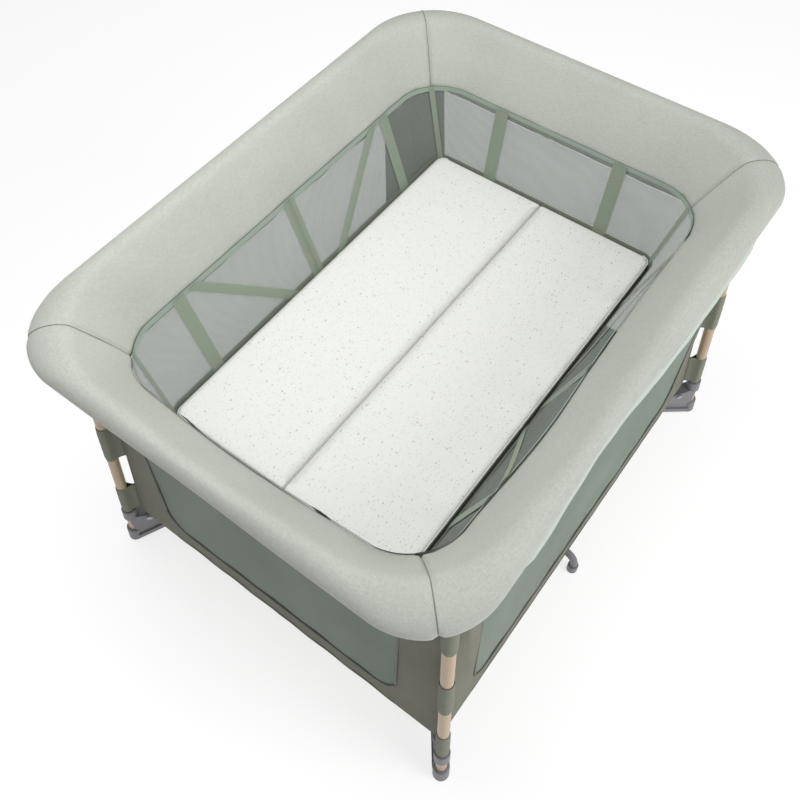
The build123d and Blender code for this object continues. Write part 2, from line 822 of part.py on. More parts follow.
with BuildPart() as outer_wall:
    for run in range(len(wall_path(hem_z)) - 1):
        add(wall_panel(run))
    with BuildSketch(Plane.XY.offset(short_wall_top_z)):
        with Locations((long_bend_x - wall_t, 0)):
            Rectangle(frame_length, frame_width, align=Align.MIN)
    extrude(amount=rail_pin_z, mode=Mode.SUBTRACT)
    for opening in quarter_windows(0, 2 * wall_t):
        add(opening, mode=Mode.SUBTRACT)
    for mesh in quarter_windows(soft_gap, window_t):
        add(mesh)
    with BuildSketch(Plane.XY.offset(hem_z)):
        with Locations((half_gap, half_gap)):
            Rectangle(
                hem_corner.X - wall_t - soft_gap - half_gap,
                hem_corner.Y - wall_t - soft_gap - half_gap,
                align=Align.MIN,
            )
    extrude(amount=floor_t)

os.makedirs("parts", exist_ok=True)

write_corners(leg_tube, "leg_tube")
write_corners(foot_bracket.part, "foot_bracket")
write_corners(corner_block.part, "corner_block")
write_corners(rivets.part, "rivets")
write_corners(leg_sleeves.part, "leg_sleeves")
write_corners(strut.part, "strut")
write_corners(long_bumper.part, "long_bumper")
write_corners(short_bumper.part, "short_bumper")
write_corners(bassinet.part, "bassinet")
write_corners(outer_wall.part, "outer_wall")

# At its middle pin the left half of a long rail, and the front half of a short one, is the fork.
for corner, (side_x, side_y) in CORNERS.items():
    long_rail = half_rail(long_rail_plane, corner_pin_x, side_x < 0)
    short_rail = half_rail(short_rail_plane, corner_pin_y, side_y < 0)
    write(to_corner(long_rail, corner), f"long_rail_{corner}")
    write(to_corner(short_rail, corner), f"short_rail_{corner}")

write(hub_body.part, "hub_body")
write(hub_pins.part, "hub_pins")
write(hub_cover.part, "hub_cover")
write(release_button.part, "release_button")
write(side_arm.part, "side_arm_back")
write(half_turn(side_arm.part), "side_arm_front")
write(side_foot.part, "side_foot_back")
write(half_turn(side_foot.part), "side_foot_front")
write(mattress_panel.part, "mattress_back")
write(mirror(mattress_panel.part, about=Plane.XZ), "mattress_front")
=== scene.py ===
from math import cos, exp, pi, radians, sin, sqrt

import bmesh
import bpy
from mathutils import Matrix, Vector


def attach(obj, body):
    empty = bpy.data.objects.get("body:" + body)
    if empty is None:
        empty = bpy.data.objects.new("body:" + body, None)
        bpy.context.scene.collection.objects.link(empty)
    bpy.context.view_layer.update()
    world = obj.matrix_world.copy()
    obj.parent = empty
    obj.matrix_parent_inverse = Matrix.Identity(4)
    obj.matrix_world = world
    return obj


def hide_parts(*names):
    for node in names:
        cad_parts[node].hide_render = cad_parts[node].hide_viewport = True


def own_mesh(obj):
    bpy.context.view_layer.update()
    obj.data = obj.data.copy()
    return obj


# Looks of a folding playpen with a raised bassinet. Metres, +Z up, front is -Y and left is -X.
# The soft pieces are made for the back right quarter and mirrored to the other three.

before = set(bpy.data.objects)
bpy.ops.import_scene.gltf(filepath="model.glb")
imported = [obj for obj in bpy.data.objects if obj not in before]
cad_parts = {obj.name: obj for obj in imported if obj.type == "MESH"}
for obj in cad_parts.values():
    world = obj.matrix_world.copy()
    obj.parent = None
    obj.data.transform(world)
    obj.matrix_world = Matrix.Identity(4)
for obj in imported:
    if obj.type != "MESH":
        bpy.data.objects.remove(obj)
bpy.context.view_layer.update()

CORNERS = {
    "back_right": (1, 1),
    "back_left": (-1, 1),
    "front_right": (1, -1),
    "front_left": (-1, -1),
}

# Bumper
PAD_X = 0.4815
PAD_Y = 0.3575
PAD_Z = 0.696
PAD_LEAN = radians(35)
PAD_HALF = 0.026
PAD_UP = 0.064
PAD_DOWN = 0.038
PAD_ROLL = 0.022
PAD_CROWN = 0.003
PAD_CORNER = 0.060
RIM_INSET = 0.0457
RIM_CORNER = 0.095
FAN_X = PAD_X - RIM_INSET - RIM_CORNER
FAN_Y = PAD_Y - RIM_INSET - RIM_CORNER
# where the band is drawn in: middle of the stretch, its spread, and how far inner and outer faces come in
PINCHES = {
    ("long", -1): (-0.13, 0.15, 0.010, 0.012),
    ("short", -1): (0.02, 0.22, 0.0125, 0.002),
}
NO_PINCH = (0.0, 1.0, 0.0, 0.0)
# the outer face is drawn in from a place up its slope, over a run
DRAWN_FROM = 0.02
DRAWN_OVER = 0.03
# how much thinner the band is at a corner seam, over which run, and the run of a radian there
SEAM_THIN = 0.20
SEAM_SPREAD = 0.004
FAN_RUN = 0.16
SEAM_R = 0.0010
# ripples of the band's lower edge as (depth, radians a metre, share of the side's phase)
RIPPLES = ((0.0010, 47, 1.0), (0.0007, 101, 2.1))
# unevenness of its filling as (share of its thickness, radians a metre along, radians a metre up)
UNEVEN = (0.012, 23, 60)
# the tape and the sleeves are cut a little larger than they look
# tape hanging on the front's outer face: half length, where it is sewn, drop, lean, and the wave of its hem
TAPE_HALF = 0.375
TAPE_ALONG = 0.066
TAPE_LIFT = 0.0012
TAPE_DROP = 0.026
TAPE_LEAN = 0.0015
TAPE_WAVE = (0.0005, 70)
# its ends go into the band from a place on, over a run
TAPE_END = 0.34
TAPE_END_RUN = 0.035
TAPE_TUCK = 0.012

# Legs
LEG_TOP_Z = 0.708
LEG_TOP = (0.448, 0.3635)
LEG_SPLAY = (0.0700, 0.0555)
# sleeves of a leg as (lower end, upper end)
SLEEVES = ((0.1255, 0.220), (0.335, 0.445), (0.565, 0.638))
SLEEVE_ROWS = 16
# a sleeve's radius, how far its ends are drawn in, its wrinkles, and half the thickness of its tail
SLEEVE_R = 0.0132
SLEEVE_DRAWN = 0.0012
SLEEVE_WRINKLE = 0.0002
TAIL_HALF = 0.0011

# Bassinet
RIM_X = PAD_X - RIM_INSET
RIM_Y = PAD_Y - RIM_INSET
RIM_Z = 0.676
BASE_X = RIM_X - 0.031
BASE_Y = RIM_Y - 0.0595
BASE_Z = 0.497
BASE_CORNER = 0.020
# how far the nets belly in at the front and at the back, and how many points from a corner they are held
FRONT_SLACK = 0.004
BACK_SLACK = 0.002
HELD_POINTS = 8
LEDGE_Z = BASE_Z - 0.001
LEDGE_WIDTH = 0.022
SLING_Z = BASE_Z - 0.0012
SLING_WIDTH = 0.040
SLINGS = (0.200, 0.330)
# straps up the nets of half a side, each as its place at the floor, its place at the rim and its width
STRAPS = {
    "long": ((0.0, 0.0, 0.028), (0.050, 0.250, 0.026), (0.280, 0.280, 0.026)),
    "short": ((0.130, 0.130, 0.028),),
}
STRAP_LIFT = 0.003
STRAP_RIDGE = 0.0038
STRAP_TOP = 0.985
# the corner strap as angles about the floor's corner, and what share of a turn is left at the wider rim
CORNER_STRAP = (63, 54, 45, 36, 27)
RIM_TURN = 0.19
# shares of a net's height where its rim tape starts and its floor binding ends, and how far in they lie
RIM_TAPE_LOW = 0.95
RIM_TAPE_IN = 0.002
# the floor binding reaches this high partly as painted shade along the mattress's edge
BINDING_AND_SHADE_HIGH = 0.150
BINDING_IN = 0.0022

# Mattress
MATTRESS_X = BASE_X - 0.0035
MATTRESS_Y = BASE_Y - 0.0035
MATTRESS_Z = BASE_Z + 0.0003
MATTRESS_T = 0.028
# half the gap at the fold, the radii of a panel's corners at the fold and away from it, and the welt
FOLD_GAP = 0.0003
FOLD_CORNER = 0.003
END_CORNER = 0.018
CORNER_POINTS = 9
WELT_R = 0.0009
WELT_DROP = 0.0052
# the edge at the fold is a tighter roll
ROLL_INSET = 0.010
FOLD_ROLL = 0.0025

# Outer walls
HEM_Z = 0.105
# hem and top as (distance out, height)
LONG_HEM = (0.3907, HEM_Z)
LONG_TOP = (0.3795, 0.672)
SHORT_HEM = (0.4875, HEM_Z)
SHORT_TOP = (0.4545, 0.641)
# how far the top edges go up into the bumper
LONG_TUCK = 0.014
SHORT_TUCK = 0.008
# half widths of the windows, how far past them the walls bend in, and the long bend's place at the top
LONG_WINDOW = 0.3826
SHORT_WINDOW = 0.2858
BEND_PAST = 0.004
LONG_BEND = 0.422
# bands below and above a window, the radius of its corners, and how deep its net lies
WINDOW_LOW = 0.064
WINDOW_TOP = 0.004
WINDOW_CORNER = 0.055
WINDOW_DEPTH = 0.0012
# how far inside a leg two walls meet
SEAM_INSET = 0.020
# slow and quick sway of the cloth as (depth, radians a metre along, radians over the height)
SLOW_SWAY = (0.0012, 21, 5)
QUICK_SWAY = (0.0006, 64, 9)
# hem, top, window and tuck of each wall
WALLS = {
    "long": (LONG_HEM, LONG_TOP, LONG_WINDOW, LONG_TUCK),
    "short": (SHORT_HEM, SHORT_TOP, SHORT_WINDOW, SHORT_TUCK),
}
# piping round the windows, stitching over the hem, and the upright seams at the legs
PIPING_R = 0.0020
PIPING_OUT = 0.0004
STITCH_R = 0.0007
STITCH_OUT = 0.0006
STITCH_UP = 0.011
WALL_SEAM_R = 0.0016

# Pen floor
FLOOR_Z = HEM_Z + 0.001
FLOOR_CLEAR = 0.0004

# Folding: how far each leg travels in, and where each strut turns
STRUT_RUN = (0.400, 0.310)
FOOT_PIN = (0.42967, 0.35043)
STRUT_DIR = Vector((*STRUT_RUN, 0)).normalized()


def leg_at(z):
    """Leg axis of the back right corner at a height."""
    share = 1 - z / LEG_TOP_Z
    return (LEG_TOP[0] + LEG_SPLAY[0] * share, LEG_TOP[1] + LEG_SPLAY[1] * share)


def seam_at(z):
    """Upright seam of the outer walls inside the back right leg."""
    x, y = leg_at(z)
    return (x - SEAM_INSET, y - SEAM_INSET)


# Materials
def srgb(red, green, blue):
    """A colour given as screen values from 0 to 255, in linear light."""
    linear = []
    for value in (red, green, blue):
        value = value / 255
        linear.append(value / 12.92 if value <= 0.04045 else ((value + 0.055) / 1.055) ** 2.4)
    return (*linear, 1.0)


class Nodes:
    """A material's node tree, with short calls to add nodes to it."""

    def __init__(self, name):
        self.material = bpy.data.materials.new(name)
        self.material.use_nodes = True
        self.tree = self.material.node_tree
        self.shader = self.tree.nodes["Principled BSDF"]
        self.output = self.tree.nodes["Material Output"]
        self.place = self.add("ShaderNodeTexCoord").outputs["Object"]

    def add(self, kind, **inputs):
        node = self.tree.nodes.new(kind)
        for name, value in inputs.items():
            self.join(value, node.inputs[name.replace("_", " ")])
        return node

    def join(self, value, socket):
        if isinstance(value, bpy.types.NodeSocket):
            self.tree.links.new(value, socket)
        else:
            socket.default_value = value

    def stretched(self, x, y, z):
        node = self.add("ShaderNodeMapping", Vector=self.place)
        node.inputs["Scale"].default_value = (x, y, z)
        return node.outputs["Vector"]

    def noise(self, vector, scale, detail=3.0):
        return self.add("ShaderNodeTexNoise", Vector=vector, Scale=scale, Detail=detail).outputs["Fac"]

    def wave(self, direction, scale):
        node = self.add("ShaderNodeTexWave", Vector=self.place, Scale=scale, Distortion=0.4)
        node.bands_direction = direction
        return node.outputs["Fac"]

    def threads(self, scale):
        """Fine lines across all three axes."""
        two = self.maths("ADD", self.wave("Y", scale), self.wave("Z", scale))
        return self.maths("ADD", self.wave("X", scale), two)

    def maths(self, operation, a, b):
        node = self.add("ShaderNodeMath")
        node.operation = operation
        self.join(a, node.inputs[0])
        self.join(b, node.inputs[1])
        return node.outputs[0]

    def ramp(self, factor, low, high, dark, light):
        node = self.add("ShaderNodeValToRGB", Fac=factor)
        node.color_ramp.elements[0].position = low
        node.color_ramp.elements[0].color = dark
        node.color_ramp.elements[1].position = high
        node.color_ramp.elements[1].color = light
        return node.outputs["Color"]

    def mix(self, factor, a, b):
        node = self.add("ShaderNodeMix")
        node.data_type = "RGBA"
        self.join(factor, node.inputs["Factor"])
        self.join(a, node.inputs[6])
        self.join(b, node.inputs[7])
        return node.outputs[2]

    def bump(self, height, strength, distance):
        node = self.add("ShaderNodeBump", Height=height, Strength=strength, Distance=distance)
        self.join(node.outputs["Normal"], self.shader.inputs["Normal"])

    def finish(self, colour, roughness, sheen=0.0):
        self.join(colour, self.shader.inputs["Base Color"])
        self.join(roughness, self.shader.inputs["Roughness"])
        self.shader.inputs["Sheen Weight"].default_value = sheen
        return self.material

    def see_through(self, cover):
        """Lets light through where cover is 0, as an open net does."""
        clear = self.add("ShaderNodeBsdfTransparent")
        blend = self.add("ShaderNodeMixShader", Fac=cover)
        self.tree.links.new(clear.outputs[0], blend.inputs[1])
        self.tree.links.new(self.shader.outputs[0], blend.inputs[2])
        self.tree.links.new(blend.outputs[0], self.output.inputs["Surface"])


SLUB_STRETCH = 0.16
SLUB_SCALE = 800
RIB_SCALE = 260


def woven(name, dark, light, thread, depth):
    """Plain woven cloth: short slubs both ways in two close shades, with a fine raised weave."""
    n = Nodes(name)
    along = n.noise(n.stretched(SLUB_STRETCH, 1, 1), SLUB_SCALE, 2.0)
    across = n.noise(n.stretched(1, SLUB_STRETCH, 1), SLUB_SCALE, 2.0)
    slubs = n.maths("MULTIPLY", n.maths("ADD", along, across), 0.5)
    broad = n.noise(n.place, 7, 2.0)
    shade = n.maths("ADD", n.maths("MULTIPLY", slubs, 0.8), n.maths("MULTIPLY", broad, 0.2))
    colour = n.ramp(shade, 0.38, 0.62, dark, light)
    n.bump(n.maths("ADD", n.threads(thread), slubs), 0.25, depth)
    return n.finish(colour, 0.95)


def net(name, dark, light, thread, low, high):
    """Open net: fine threads crossing on the slant, that cover between a low and a high share."""
    n = Nodes(name)
    rising = n.add("ShaderNodeTexWave", Vector=n.stretched(1, 1, 1), Scale=thread)
    rising.bands_direction = "DIAGONAL"
    falling = n.add("ShaderNodeTexWave", Vector=n.stretched(1, 1, -1), Scale=thread)
    falling.bands_direction = "DIAGONAL"
    threads = n.maths("MAXIMUM", rising.outputs["Fac"], falling.outputs["Fac"])
    cover = n.maths("ADD", low, n.maths("MULTIPLY", threads, high - low))
    n.see_through(cover)
    n.bump(threads, 0.2, 0.0004)
    return n.finish(n.ramp(n.noise(n.place, 5), 0.35, 0.65, dark, light), 0.9)


def webbing(name, dark, light):
    """Strap tape with fine ribs across it."""
    n = Nodes(name)
    ribs = n.threads(RIB_SCALE)
    colour = n.ramp(n.maths("MULTIPLY", ribs, 0.33), 0.25, 0.75, dark, light)
    n.bump(ribs, 0.2, 0.0004)
    return n.finish(colour, 0.8, 0.1)


def speckled(name):
    """Pale quilt cloth with scattered fine flecks, grey and rosy, and a few larger ones."""
    n = Nodes(name)
    ground = n.ramp(n.noise(n.place, 700, 2.0), 0.35, 0.65, srgb(229, 230, 225), srgb(236, 237, 233))
    for scale, size, rare, strength in ((270.0, 0.23, 0.58, 0.55), (150.0, 0.20, 0.85, 0.75)):
        cells = n.add("ShaderNodeTexVoronoi", Vector=n.stretched(0.6, 1.6, 1), Scale=scale)
        pick = n.add("ShaderNodeSeparateColor", Color=cells.outputs["Color"])
        near = n.maths("LESS_THAN", cells.outputs["Distance"], size)
        chosen = n.maths("GREATER_THAN", pick.outputs["Red"], rare)
        fleck = n.maths("MULTIPLY", n.maths("MULTIPLY", near, chosen), strength)
        tint = n.mix(pick.outputs["Green"], srgb(120, 120, 120), srgb(186, 168, 158))
        ground = n.mix(fleck, ground, tint)
    n.bump(n.noise(n.place, 420, 3.0), 0.3, 0.001)
    return n.finish(ground, 0.9, 0.15)


def moulded(name, dark, light, roughness):
    """Moulded plastic with a fine grain."""
    n = Nodes(name)
    grain = n.noise(n.place, 1500, 2.0)
    n.bump(grain, 0.12, 0.0004)
    return n.finish(n.ramp(grain, 0.3, 0.7, dark, light), roughness)


def coated(name, dark, light, roughness, metallic):
    """Coated or bare metal with faint drawn lines."""
    n = Nodes(name)
    lines = n.noise(n.stretched(60, 60, 3), 12, 3.0)
    n.shader.inputs["Metallic"].default_value = metallic
    n.bump(lines, 0.06, 0.0004)
    return n.finish(n.ramp(lines, 0.3, 0.7, dark, light), roughness)


LINEN = woven("bumper_linen", srgb(174, 177, 168), srgb(192, 195, 186), 900, 0.0005)
OUTER = woven("outer_cloth", srgb(109, 109, 97), srgb(126, 126, 113), 800, 0.0005)
SLEEVE = woven("sleeve_cloth", srgb(116, 119, 105), srgb(134, 137, 122), 800, 0.0005)
NET = net("bassinet_net", srgb(150, 158, 152), srgb(160, 168, 162), 190, 0.18, 0.64)
WINDOW = net("window_net", srgb(148, 161, 148), srgb(158, 171, 158), 190, 0.30, 0.70)
STRAP = webbing("strap_tape", srgb(135, 147, 129), srgb(146, 157, 140))
# the binding's dark colour is partly its own and partly painted shade along the mattress's edge
BINDING_AND_SHADE = webbing("edge_binding_and_shade", srgb(112, 120, 106), srgb(132, 140, 126))
MINT = webbing("hanging_tape", srgb(178, 190, 180), srgb(184, 195, 185))
RIM = webbing("rim_tape", srgb(146, 160, 146), srgb(158, 171, 158))
THREAD = webbing("seam_thread", srgb(118, 122, 112), srgb(134, 138, 128))
PIPING = webbing("window_piping", srgb(96, 99, 90), srgb(112, 115, 105))
QUILT = speckled("mattress_quilt")
TUBE = coated("tube_coat", srgb(172, 148, 122), srgb(186, 163, 136), 0.38, 0.0)
STEEL = coated("rivet_metal", srgb(150, 150, 152), srgb(176, 176, 178), 0.3, 0.9)
GREY = moulded("bracket_grey", srgb(104, 104, 108), srgb(126, 126, 130), 0.5)
PALE_GREY = moulded("button_grey", srgb(160, 164, 160), srgb(178, 182, 178), 0.45)


# Mesh helpers
def linked(name, mesh):
    """A mesh as an object of the scene."""
    obj = bpy.data.objects.new(name, mesh)
    bpy.context.scene.collection.objects.link(obj)
    return obj


def mesh_object(name, points, faces, material):
    """A smooth shaded mesh in place."""
    mesh = bpy.data.meshes.new(name)
    mesh.from_pydata(points, [], faces)
    mesh.materials.append(material)
    mesh.shade_smooth()
    return linked(name, mesh)


def grid_faces(rows, columns, closed=False, start=0):
    """Faces of a grid of points given row by row. A closed grid joins its last column to its first."""
    faces = []
    for row in range(rows - 1):
        for column in range(columns if closed else columns - 1):
            a = start + row * columns + column
            b = start + row * columns + (column + 1) % columns
            faces.append((a, b, b + columns, a + columns))
    return faces


def grid_object(name, rows, material, closed=False):
    """A sheet from rows of points, all rows of one length."""
    points = [point for row in rows for point in row]
    return mesh_object(name, points, grid_faces(len(rows), len(rows[0]), closed), material)


def capped_object(name, rings, material):
    """A closed form from rings of points, with flat ends."""
    columns = len(rings[0])
    points = [point for ring in rings for point in ring]
    faces = grid_faces(len(rings), columns, True)
    faces.append(tuple(reversed(range(columns))))
    faces.append(tuple(range(len(points) - columns, len(points))))
    return mesh_object(name, points, faces, material)


def mirrored(rows, corner):
    """Rows of points of the back right quarter, mirrored to another corner."""
    side_x, side_y = CORNERS[corner]
    return [[(x * side_x, y * side_y, z) for x, y, z in row] for row in rows]


def swapped(rows):
    """Rows of points of a long side, turned over the diagonal to a short side."""
    return [[(y, x, z) for x, y, z in row] for row in rows]


def face_out(obj):
    """Turns a closed form's faces outwards."""
    work = bmesh.new()
    work.from_mesh(obj.data)
    bmesh.ops.recalc_face_normals(work, faces=work.faces)
    work.to_mesh(obj.data)
    work.free()
    return obj


def joined(name, parts, material):
    """One mesh from several grids of rows."""
    points = []
    faces = []
    for rows in parts:
        faces += grid_faces(len(rows), len(rows[0]), False, len(points))
        points += [point for row in rows for point in row]
    return mesh_object(name, points, faces, material)


BEAD_SIDES = 8


def edge_tube(name, path, radius, material):
    """A round bead along a path of points."""
    rings = []
    for i, point in enumerate(path):
        before = Vector(path[max(0, i - 1)])
        after = Vector(path[min(len(path) - 1, i + 1)])
        ahead = (after - before).normalized()
        side = ahead.cross(Vector((0, 0, 1)))
        side = side.normalized() if side.length > 1e-4 else Vector((1, 0, 0))
        up = side.cross(ahead)
        ring = []
        for k in range(BEAD_SIDES):
            turn = 2 * pi * k / BEAD_SIDES
            ring.append(tuple(Vector(point) + radius * (cos(turn) * side + sin(turn) * up)))
        rings.append(ring)
    return face_out(capped_object(name, rings, material))


def cut_through(work, point, normal):
    """Cuts a mesh along a plane."""
    everything = work.verts[:] + work.edges[:] + work.faces[:]
    bmesh.ops.bisect_plane(work, geom=everything, plane_co=point, plane_no=normal)


def one_side(work, point, normal, side):
    """A copy of a cut mesh with what lies on one side of the plane."""
    part = work.copy()
    wrong = [v for v in part.verts if side * (v.co - point).dot(normal) < -1e-6]
    bmesh.ops.delete(part, geom=wrong, context="VERTS")
    return part


def split_at(obj, axis, place, names):
    """Splits a mesh on a plane into its inner and outer pieces, which shade as one surface."""
    work = bmesh.new()
    work.from_mesh(obj.data)
    work.normal_update()
    kept = work.verts.layers.float_vector.new("whole_normal")
    for vert in work.verts:
        skin = [face.normal for face in vert.link_faces if len(face.verts) == 4]
        vert[kept] = sum(skin, Vector((0, 0, 0))).normalized()
    normal = Vector((0, 0, 0))
    normal[axis] = 1 if place > 0 else -1
    point = Vector((0, 0, 0))
    point[axis] = place
    cut_through(work, point, normal)
    pieces = []
    for name, side in zip(names, (-1, 1)):
        part = one_side(work, point, normal, side)
        layer = part.verts.layers.float_vector["whole_normal"]
        normals = [tuple(v[layer].normalized()) for v in part.verts]
        mesh = bpy.data.meshes.new(name)
        part.to_mesh(mesh)
        part.free()
        mesh.materials.append(obj.data.materials[0])
        mesh.shade_smooth()
        mesh.normals_split_custom_set_from_vertices(normals)
        pieces.append(linked(name, mesh))
    work.free()
    bpy.data.objects.remove(obj)
    return pieces


def span(low, high, count):
    """Evenly spaced values with both ends."""
    return [low + (high - low) * i / (count - 1) for i in range(count)]


def towards(start, end, share):
    """A point between two points."""
    return tuple(a + (b - a) * share for a, b in zip(start, end))


# Riding
def ride_leg(obj, corner):
    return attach(obj, f"leg_{corner}")


def gather(obj, corner):
    """A soft piece that rides its leg, with a mesh of its own."""
    ride_leg(obj, corner)
    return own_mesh(obj)


def gather_long(obj, corner, place):
    return gather(obj, corner)


def gather_short(obj, corner, place):
    return gather(obj, corner)


# how a side's rows are turned to lie along it, and how its pieces ride
TURNED = {"long": list, "short": swapped}
GATHERED = {"long": gather_long, "short": gather_short}


# Bumper
def reach(origin, heading, half_x, half_y, radius):
    """Distance from an origin along a heading to a rectangle with rounded corners."""
    step_x = sin(heading)
    step_y = cos(heading)
    if origin[0] * step_y + (half_y - origin[1]) * step_x <= (half_x - radius) * step_y:
        return (half_y - origin[1]) / step_y
    from_x = origin[0] - half_x + radius
    from_y = origin[1] - half_y + radius
    away = from_x * step_x + from_y * step_y
    return -away + sqrt(max(0.0, away**2 - from_x**2 - from_y**2 + radius**2))


def pad_profile():
    """The bumper's section as (along its slope, across it, share of the outer corner's rule).

    Each face is crowned. The inner one runs up to the top roll, the outer one down to the lower roll.
    """
    points = []
    for face, end in ((-1, PAD_UP), (1, -PAD_DOWN)):
        for t in span(face, -face, 15):
            along = (PAD_UP - PAD_DOWN) / 2 + t * (PAD_UP + PAD_DOWN) / 2
            points.append((along, face * (PAD_HALF + PAD_CROWN * (1 - t * t)), (face + 1) / 2))
        for angle in span(0, pi, 13)[1:-1]:
            across = face * PAD_HALF * cos(angle)
            points.append((end - face * PAD_ROLL * sin(angle), across, 0.5 + across / PAD_HALF / 2))
    return points


def drawn_share(place, pinch):
    """How much of a pinch is felt at a place along a side."""
    return exp(-(((place - pinch[0]) / pinch[1]) ** 2))


def drawn_in(along, across, place, pinch):
    """Moves a point of the section towards the rail where the band is drawn in."""
    share = drawn_share(place, pinch) * across / PAD_HALF
    if across < 0:
        return across - pinch[2] * share
    return across - pinch[3] * share * min(1.0, max(0.0, (along - DRAWN_FROM) / DRAWN_OVER))


def pad_rings(half_x, half_y, fan, sign, phase, pinch):
    """Rings of half a side of the bumper, from its middle to the seam across the corner."""
    profile = pad_profile()
    stations = [((x, fan[1]), 0.0) for x in span(0, fan[0], 34)]
    stations += [(fan, radians(angle)) for angle in span(0, 45, 25)[1:]]
    rings = []
    run = 0.0
    last = None
    for origin, heading in stations:
        ring = []
        place = sign * run
        seam = exp(-(((radians(45) - heading) * FAN_RUN / SEAM_SPREAD) ** 2))
        ripple = sum(depth * sin(place * turns + shift * phase) for depth, turns, shift in RIPPLES)
        for along, across, share in profile:
            low = max(0.0, -along / PAD_DOWN)
            thick = 1 - SEAM_THIN * seam + UNEVEN[0] * sin(place * UNEVEN[1] + UNEVEN[2] * along + phase)
            across = drawn_in(along, across * thick, place, pinch)
            along = along + low * ripple
            out = along * sin(PAD_LEAN) + across * cos(PAD_LEAN)
            radius = (PAD_CORNER + out) * share + (RIM_CORNER + RIM_INSET + out) * (1 - share)
            distance = reach(origin, heading, half_x + out, half_y + out, radius)
            z = PAD_Z + along * cos(PAD_LEAN) - across * sin(PAD_LEAN)
            ring.append((origin[0] + distance * sin(heading), origin[1] + distance * cos(heading), z))
        rings.append(ring)
        middle = Vector(ring[len(ring) // 2])
        if last is not None:
            run += (middle - last).length
        last = middle
    return rings


def make_tape(corner):
    """The tape that hangs on the outer face of the front's bumper."""
    side_x, side_y = CORNERS[corner]
    sewn = []
    hem = []
    for x in span(0, TAPE_HALF, 30):
        place = side_x * x
        tuck = TAPE_TUCK * min(1.0, max(0.0, (x - TAPE_END) / TAPE_END_RUN))
        across = drawn_in(TAPE_ALONG, PAD_HALF, place, PINCHES["long", side_y]) + TAPE_LIFT - tuck
        y = PAD_Y + TAPE_ALONG * sin(PAD_LEAN) + across * cos(PAD_LEAN)
        z = PAD_Z + TAPE_ALONG * cos(PAD_LEAN) - across * sin(PAD_LEAN)
        sewn.append((x, y, z))
        hem.append((x, y + TAPE_LEAN + TAPE_WAVE[0] * sin(TAPE_WAVE[1] * x), z - TAPE_DROP))
    rows = [[towards(a, b, t) for a, b in zip(sewn, hem)] for t in span(0, 1, 4)]
    tape = grid_object(f"bumper_tape_{corner}", mirrored(rows, corner), MINT)
    gather_long(tape, corner, LONG_WINDOW)


def make_bumper(corner):
    """The padded band of a quarter: half a long side, half a short one and the seam between them."""
    side_x, side_y = CORNERS[corner]
    long_pinch = PINCHES.get(("long", side_y), NO_PINCH)
    short_pinch = PINCHES.get(("short", side_x), NO_PINCH)
    long_phase = 0.9 * side_y
    short_phase = 2 + 1.7 * side_x
    long_rings = pad_rings(PAD_X, PAD_Y, (FAN_X, FAN_Y), side_x, long_phase, long_pinch)
    short_rings = pad_rings(PAD_Y, PAD_X, (FAN_Y, FAN_X), side_y, short_phase, short_pinch)
    sides = (
        ("long", 0, LONG_WINDOW, long_rings),
        ("short", 1, SHORT_WINDOW, swapped(short_rings)),
    )
    for side, axis, place, rings in sides:
        whole = face_out(capped_object("bumper", mirrored(rings, corner), LINEN))
        names = (f"{side}_bumper_side_{corner}", f"{side}_bumper_corner_{corner}")
        middle, end = split_at(whole, axis, place * CORNERS[corner][axis], names)
        GATHERED[side](middle, corner, place)
        ride_leg(end, corner)
        for piece in (middle, end):
            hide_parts(f"{side}_bumper_{corner}")
    stitched = mirrored([long_rings[-1] + long_rings[-1][:1]], corner)[0]
    ride_leg(edge_tube(f"bumper_seam_{corner}", stitched, SEAM_R, THREAD), corner)


for corner in CORNERS:
    make_bumper(corner)
for corner in ("front_left", "front_right"):
    make_tape(corner)


# Bassinet
def bassinet_plan(half_x, half_y, radius, inset=0.0):
    """Plan of half a wall as points from mid side to mid corner."""
    centre = (half_x - radius, half_y - radius)
    points = [(x, half_y - inset) for x in span(0, centre[0], 41)]
    for angle in span(90, 45, 10)[1:]:
        turn = radians(angle)
        points.append((centre[0] + (radius - inset) * cos(turn), centre[1] + (radius - inset) * sin(turn)))
    return points


def bassinet_rows(base, rim, low, high, inset, slack, rim_out, count=17):
    """Rows of half a wall between two shares of its height. It bellies in and is held at the corner."""
    lower = bassinet_plan(*base, BASE_CORNER, inset)
    upper = bassinet_plan(*rim, RIM_CORNER, inset)
    rows = []
    for share in span(low, high, count):
        row = []
        for i, (a, b) in enumerate(zip(lower, upper)):
            x = a[0] + (b[0] - a[0]) * share
            y = a[1] + (b[1] - a[1]) * share
            free = min(1, (len(lower) - 1 - i) / HELD_POINTS)
            belly = slack * sin(pi * share) * (0.6 + 0.4 * sin(x * 38))
            row.append((x, y + (rim_out(x) * share - belly) * free, BASE_Z + (RIM_Z - BASE_Z) * share))
        rows.append(row)
    return rows


def strap_rows(base_y, rim_y, low_x, high_x, width, rim_out):
    """Rows of a strap up a bassinet wall, from a place at its floor to a place at its rim."""

    def wall_point(x, share, lift):
        y = base_y + (rim_y + rim_out(x) - base_y) * share - lift
        return (x, y, BASE_Z + (RIM_Z - BASE_Z) * share)

    rows = []
    for share in span(0.0, STRAP_TOP, 14):
        x = low_x + (high_x - low_x) * share
        left = max(0.0, x - width / 2)
        row = [wall_point(left, share, STRAP_LIFT)]
        row.append(wall_point(max(left, x), share, STRAP_RIDGE))
        row.append(wall_point(x + width / 2, share, STRAP_LIFT))
        rows.append(row)
    return rows


